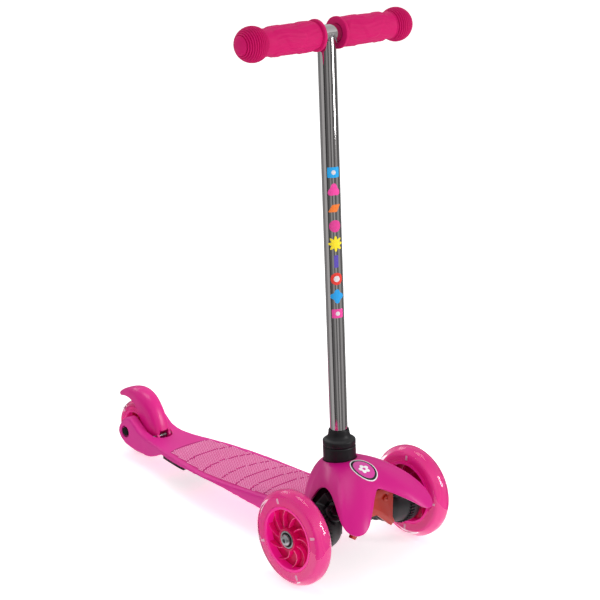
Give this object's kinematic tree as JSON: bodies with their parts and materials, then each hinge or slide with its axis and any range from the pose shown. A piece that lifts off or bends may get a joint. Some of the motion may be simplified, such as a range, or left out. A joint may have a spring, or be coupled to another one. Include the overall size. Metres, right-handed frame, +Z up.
{
  "type": "child's three-wheel kick scooter",
  "caption": "Child's kick scooter with two front wheels that steer when it is leaned, one rear wheel under a finger-shaped brake fender, a moulded deck and a T-shaped handlebar.",
  "frame": {"origin": "on the ground, under the middle of the whole object", "axes": "+Z up; -Y is the way the rider faces and rolls; +X is the rider's left"},
  "size_m": [0.2674, 0.5596, 0.6677],
  "materials": {
    "clear_tyre": "translucent glossy polyurethane",
    "wheel_core": "glossy moulded",
    "white_plastic": "moulded",
    "zinc_steel": "bright zinc plated",
    "spring_steel": "bright wire",
    "black_plastic": "satin moulded",
    "grip_rubber": "soft satin",
    "orange_plastic": "satin moulded",
    "badge_film": "printed film",
    "chrome_tube": "polished",
    "deck_plastic": "fine-grained tread, smooth edge",
    "pink_plastic": "smooth satin gloss",
    "brake_rubber": "matte"
  },
  "bodies": {
    "frame": {"deck": "deck_plastic", "front_cover": "pink_plastic", "front_badge": "badge_film", "head_frame": "black_plastic", "head_socket": "black_plastic", "collet": "white_plastic", "front_plate": "orange_plastic", "brace_plate": "black_plastic", "plate_screw_left": "zinc_steel", "plate_screw_right": "zinc_steel", "foot_screw_left": "zinc_steel", "foot_screw_right": "zinc_steel", "brace_screw_left": "zinc_steel", "brace_screw_right": "zinc_steel", "kingpin_left": "zinc_steel", "kingpin_right": "zinc_steel", "kingpin_nut_left": "zinc_steel", "kingpin_nut_right": "zinc_steel", "rear_axle_bolt": "zinc_steel", "rear_axle_nut": "zinc_steel", "rear_spacer_left": "zinc_steel", "rear_spacer_right": "zinc_steel", "brake_pin": "zinc_steel", "brake_spring": "spring_steel", "centring_spring_left": "spring_steel", "centring_spring_right": "spring_steel"},
    "handlebar": {"stem_tube": "chrome_tube", "stem_plug": "black_plastic", "crossbar": "chrome_tube", "grip_left": "grip_rubber", "grip_right": "grip_rubber"},
    "clamp_nut": {"collar_nut": "black_plastic"},
    "steering_left": {"knuckle_left": "black_plastic", "axle_bolt_left": "zinc_steel", "tie_pin_left": "zinc_steel"},
    "steering_right": {"knuckle_right": "black_plastic", "axle_bolt_right": "zinc_steel", "tie_pin_right": "zinc_steel"},
    "steering_link": {"tie_rod": "black_plastic"},
    "wheel_front_left": {"front_left_tyre": "clear_tyre", "front_left_hub": "wheel_core", "front_left_light_ring": "white_plastic", "front_left_bearing_left": "zinc_steel", "front_left_bearing_right": "zinc_steel", "front_left_magnet_sleeve": "zinc_steel"},
    "wheel_front_right": {"front_right_tyre": "clear_tyre", "front_right_hub": "wheel_core", "front_right_light_ring": "white_plastic", "front_right_bearing_left": "zinc_steel", "front_right_bearing_right": "zinc_steel", "front_right_magnet_sleeve": "zinc_steel"},
    "wheel_rear": {"rear_tyre": "clear_tyre", "rear_hub": "wheel_core", "rear_light_ring": "white_plastic", "rear_bearing_left": "zinc_steel", "rear_bearing_right": "zinc_steel", "rear_magnet_sleeve": "zinc_steel"},
    "brake": {"brake_fender": "pink_plastic", "brake_pad": "brake_rubber"}
  },
  "joints": [
    {"name": "steer_right", "type": "hinge", "parent": "frame", "child": "steering_right", "pos_m": [-0.054, -0.20581, 0.06], "axis": [0, -0.6428, 0.766], "range_deg": [-14, 14], "stiffness_Nm_per_rad": 3, "deforming": ["centring_spring_right"]},
    {"name": "steer_left", "type": "hinge", "parent": "frame", "child": "steering_left", "pos_m": [0.054, -0.20581, 0.06], "axis": [0, -0.6428, 0.766], "range_deg": [-14, 14], "stiffness_Nm_per_rad": 3, "deforming": ["centring_spring_left"]},
    {"name": "steering_link_slide", "type": "slide", "parent": "frame", "child": "steering_link", "axis": [1, 0, 0], "range_m": [-0.0054, 0.0054]},
    {"name": "front_left_wheel_spin", "type": "hinge", "parent": "steering_left", "child": "wheel_front_left", "pos_m": [0.101, -0.20581, 0.06], "axis": [1, 0, 0], "continuous": true},
    {"name": "front_right_wheel_spin", "type": "hinge", "parent": "steering_right", "child": "wheel_front_right", "pos_m": [-0.101, -0.20581, 0.06], "axis": [1, 0, 0], "continuous": true},
    {"name": "rear_wheel_spin", "type": "hinge", "parent": "frame", "child": "wheel_rear", "pos_m": [0, 0.23419, 0.04], "axis": [1, 0, 0], "continuous": true},
    {"name": "brake_press", "type": "hinge", "parent": "frame", "child": "brake", "pos_m": [0, 0.18719, 0.041], "axis": [-1, 0, 0], "range_deg": [0, 3.2], "stiffness_Nm_per_rad": 1, "springref_deg": -8.59, "deforming": ["brake_spring"]},
    {"name": "clamp_nut_turn", "type": "hinge", "parent": "frame", "child": "clamp_nut", "pos_m": [0, -0.17931, 0.1], "axis": [0, 0.0579, 0.9983], "range_deg": [0, 90]},
    {"name": "handlebar_slide", "type": "slide", "parent": "frame", "child": "handlebar", "axis": [0, 0.0579, 0.9983], "range_m": [0, 0.07]}
  ],
  "couplings": [
    {"joint": "steer_left", "follows": "steer_right", "ratio": 1},
    {"joint": "steering_link_slide", "follows": "steer_right", "m_per_rad": -0.021782}
  ]
}
